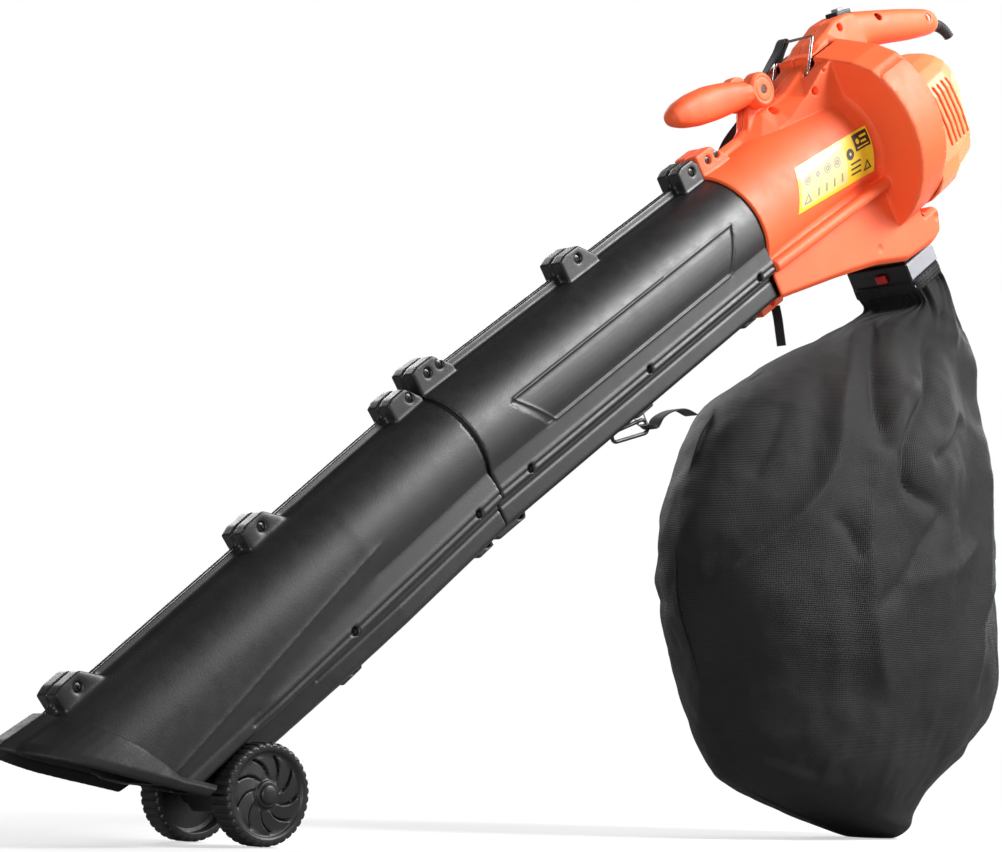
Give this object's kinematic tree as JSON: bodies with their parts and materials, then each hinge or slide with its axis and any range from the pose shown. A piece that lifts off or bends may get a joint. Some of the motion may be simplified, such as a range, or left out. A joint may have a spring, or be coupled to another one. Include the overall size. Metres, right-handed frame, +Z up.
{
  "type": "leaf vacuum mulcher",
  "caption": "Hand-held electric leaf vacuum and blower: long clamshell suction tube on wheels, fan housing with shredding impeller, tilting front handle, strap ring and leaf bag.",
  "frame": {"origin": "middle of the footprint on the floor, under the centre of the overall box", "axes": "+X from the nozzle to the motor along the floor, +Y to the side away from the warning label, +Z up"},
  "size_m": [1.2253, 0.2392, 0.9091],
  "materials": {
    "orange_plastic": "satin moulded",
    "black_plastic": "satin moulded",
    "wheel_plastic": "satin moulded",
    "steel": "plated",
    "lamination": "varnished stack",
    "copper": "wound wire",
    "grey_plastic": "satin moulded",
    "red_plastic": "satin moulded",
    "rubber": "matt",
    "webbing": "woven webbing",
    "bag_fabric": "non-woven or woven polyester"
  },
  "bodies": {
    "machine": {"axle": "steel", "axle_bracket": "black_plastic", "axle_cap_left": "steel", "axle_cap_right": "steel", "bag_collar": "black_plastic", "brush_holder_left": "copper", "brush_holder_right": "copper", "cord_boot": "rubber", "front_bearing": "steel", "front_bracket": "steel", "front_strap": "webbing", "handle_bolt": "black_plastic", "hook_eye": "steel", "hook_strap": "webbing", "housing_left": "orange_plastic", "housing_right": "orange_plastic", "leaf_bag": "bag_fabric", "lower_tube_left": "black_plastic", "lower_tube_right": "black_plastic", "motor_cover": "orange_plastic", "nozzle_shoe": "black_plastic", "outlet_spigot": "black_plastic", "rear_bearing": "steel", "rear_bracket": "steel", "screw_housing_1": "steel", "screw_housing_2": "steel", "screw_lower_1": "steel", "screw_lower_2": "steel", "screw_lower_3": "steel", "screw_lower_4": "steel", "screw_lower_5": "steel", "screw_upper_1": "steel", "screw_upper_2": "steel", "screw_upper_3": "steel", "screw_upper_4": "steel", "screw_upper_5": "steel", "screw_upper_6": "steel", "screw_upper_7": "steel", "shoulder_strap": "webbing", "snap_hook": "black_plastic", "stator": "lamination", "strap_anchor": "black_plastic", "switch_bezel": "black_plastic", "switch_module": "grey_plastic", "upper_tube_left": "black_plastic", "upper_tube_right": "black_plastic"},
    "rotor": {"impeller": "steel", "impeller_nut": "steel", "motor_shaft": "steel", "rotor_core": "copper", "cooling_fan": "grey_plastic"},
    "wheel_left": {"wheel_left": "wheel_plastic"},
    "wheel_right": {"wheel_right": "wheel_plastic"},
    "front_handle": {"front_handle": "orange_plastic"},
    "strap_ring": {"strap_ring": "steel"},
    "power_switch": {"power_switch": "grey_plastic"},
    "bag_latch": {"bag_latch": "red_plastic"},
    "mode_selector": {"mode_flap": "black_plastic", "mode_lever": "black_plastic"}
  },
  "joints": [
    {"name": "wheel_left_spin", "type": "hinge", "parent": "machine", "child": "wheel_left", "pos_m": [-0.39161, -0.049, 0.04199], "axis": [0, 1, 0], "continuous": true},
    {"name": "wheel_right_spin", "type": "hinge", "parent": "machine", "child": "wheel_right", "pos_m": [-0.39161, 0.049, 0.04199], "axis": [0, 1, 0], "continuous": true},
    {"name": "impeller_spin", "type": "hinge", "parent": "machine", "child": "rotor", "pos_m": [0.40248, 0, 0.74919], "axis": [0.8141, 0, 0.5807], "continuous": true},
    {"name": "front_handle_tilt", "type": "hinge", "parent": "machine", "child": "front_handle", "pos_m": [0.2402, 0, 0.75627], "axis": [0, 1, 0], "range_deg": [-8, 60]},
    {"name": "strap_ring_swing", "type": "hinge", "parent": "machine", "child": "strap_ring", "pos_m": [0.30864, 0, 0.78605], "axis": [0, 1, 0], "range_deg": [-90, 5]},
    {"name": "power_switch_slide", "type": "slide", "parent": "machine", "child": "power_switch", "axis": [0.9171, 0, 0.3987], "range_m": [0, 0.0035]},
    {"name": "bag_latch_press", "type": "slide", "parent": "machine", "child": "bag_latch", "axis": [0.8141, 0, 0.5807], "range_m": [0, 0.0015], "stiffness_N_per_m": 500},
    {"name": "mode_select", "type": "hinge", "parent": "machine", "child": "mode_selector", "pos_m": [0.43785, 0, 0.61351], "axis": [0, 1, 0], "range_deg": [0, 78]}
  ]
}
